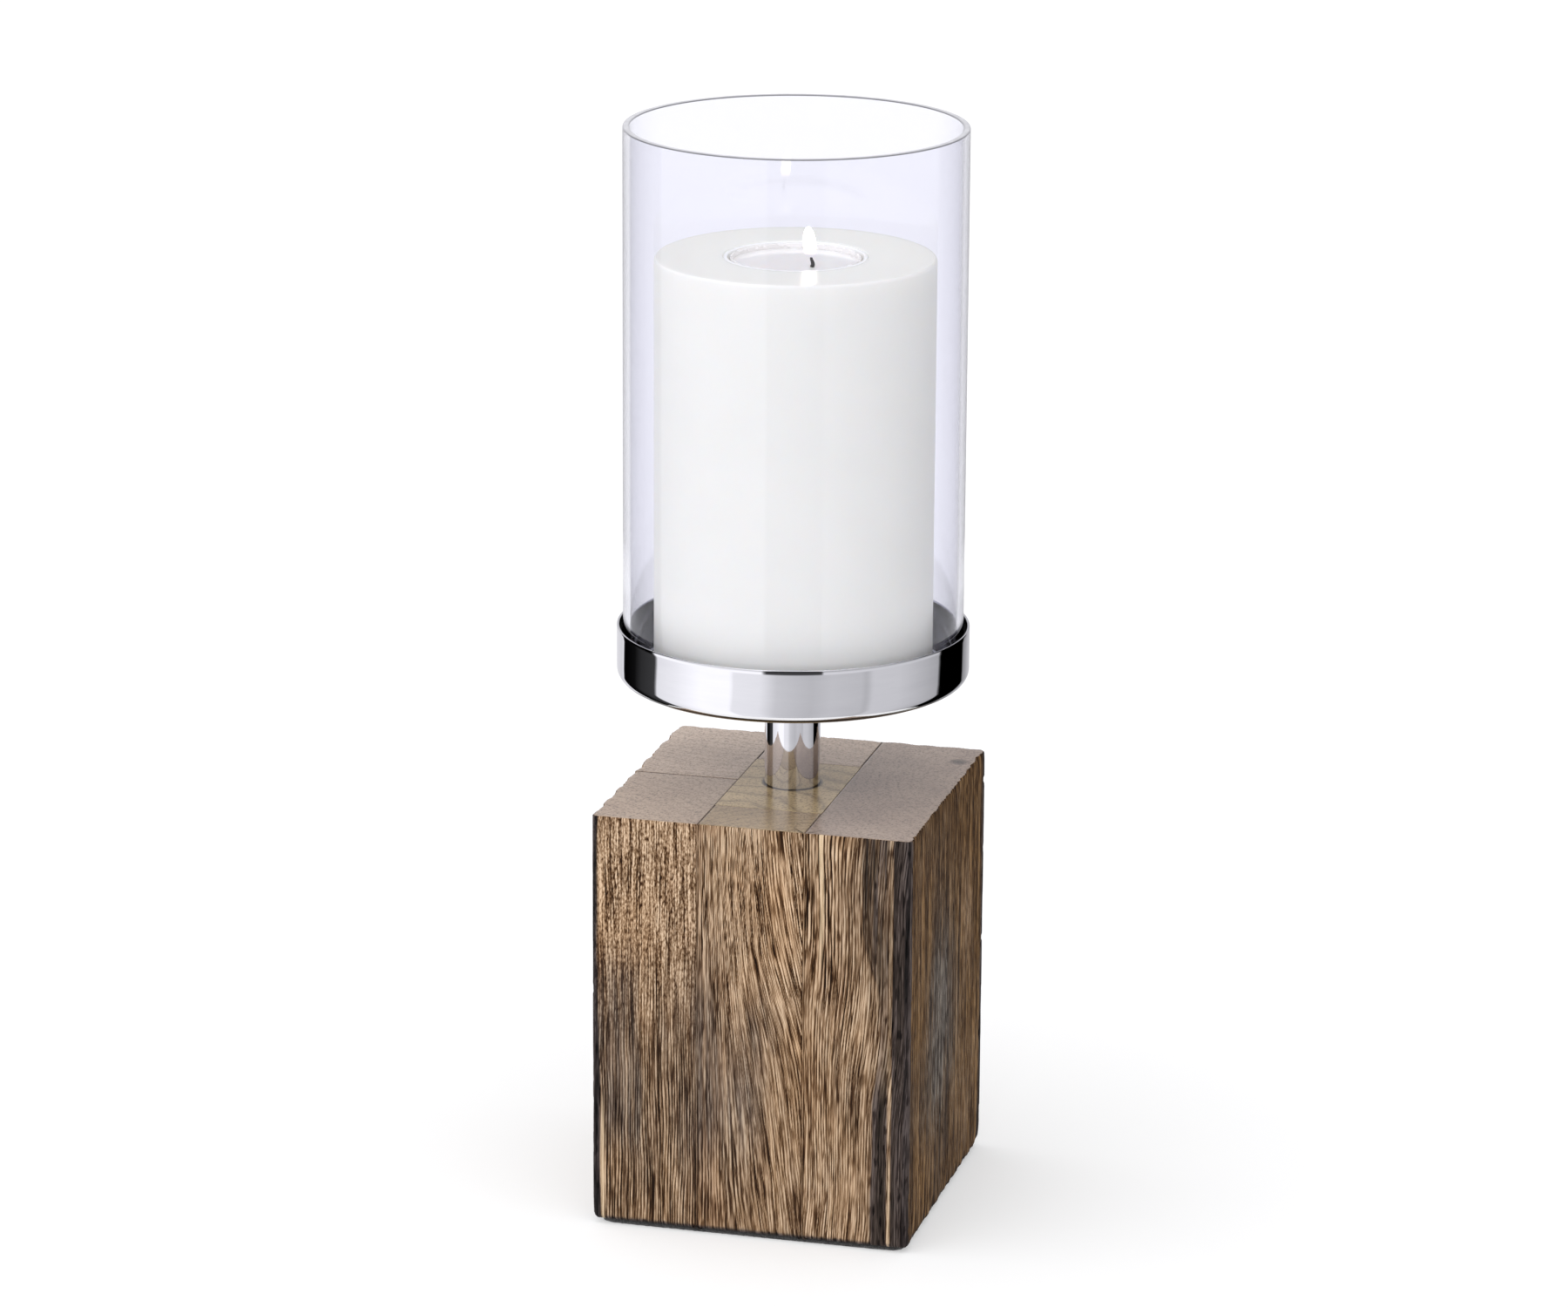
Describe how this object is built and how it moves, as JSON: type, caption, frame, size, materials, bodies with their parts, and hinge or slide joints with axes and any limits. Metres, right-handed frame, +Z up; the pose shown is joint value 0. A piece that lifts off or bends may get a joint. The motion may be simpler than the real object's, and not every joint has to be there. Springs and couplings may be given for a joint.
{
  "type": "hurricane candle lantern",
  "caption": "Hurricane lantern: glued wood block, chromed pole and tray, pillar candle with a tea light inside an open glass cylinder.",
  "frame": {"origin": "centre of the felt's underside, on the pole's axis, on the surface that the lantern stands on", "axes": "+Z up along the pole, the block's front face towards -Y, its one-piece stave towards +X"},
  "size_m": [0.1036, 0.1036, 0.3233],
  "materials": {
    "felt": "matte black felt",
    "wood": "wire-brushed and smoke-stained, bare",
    "chrome": "mirror polished",
    "steel": "zinc plated",
    "glass": "clear, fire-polished edges",
    "candle_wax": "matte white hard wax",
    "liner": "satin white",
    "clear_cup": "clear",
    "tealight_wax": "melted white wax, glossy",
    "wick": "charred cotton",
    "tin": "plain sheet"
  },
  "bodies": {
    "stand": {"felt_base": "felt", "left_front_stave": "wood", "left_rear_stave": "wood", "middle_front_stave": "wood", "middle_centre_stave": "wood", "middle_rear_stave": "wood", "right_stave": "wood", "pole_tube": "chrome", "top_plug": "steel", "tie_rod": "steel", "flat_washer": "steel", "lock_washer": "steel", "hex_nut": "steel", "tray": "chrome", "tray_screw": "steel"},
    "glass": {"glass_cylinder": "glass"},
    "candle": {"candle_body": "candle_wax", "pocket_liner": "liner"},
    "tealight": {"tealight_cup": "clear_cup", "tealight_wax": "tealight_wax", "wick": "wick", "wick_sustainer": "tin"}
  },
  "joints": [
    {"name": "glass_lift", "type": "slide", "parent": "stand", "child": "glass", "axis": [0, 0, 1], "range_m": [0, 0.14]},
    {"name": "candle_lift", "type": "slide", "parent": "stand", "child": "candle", "axis": [0, 0, 1], "range_m": [0, 0.17]},
    {"name": "tealight_lift", "type": "slide", "parent": "candle", "child": "tealight", "axis": [0, 0, 1], "range_m": [0, 0.065]}
  ]
}
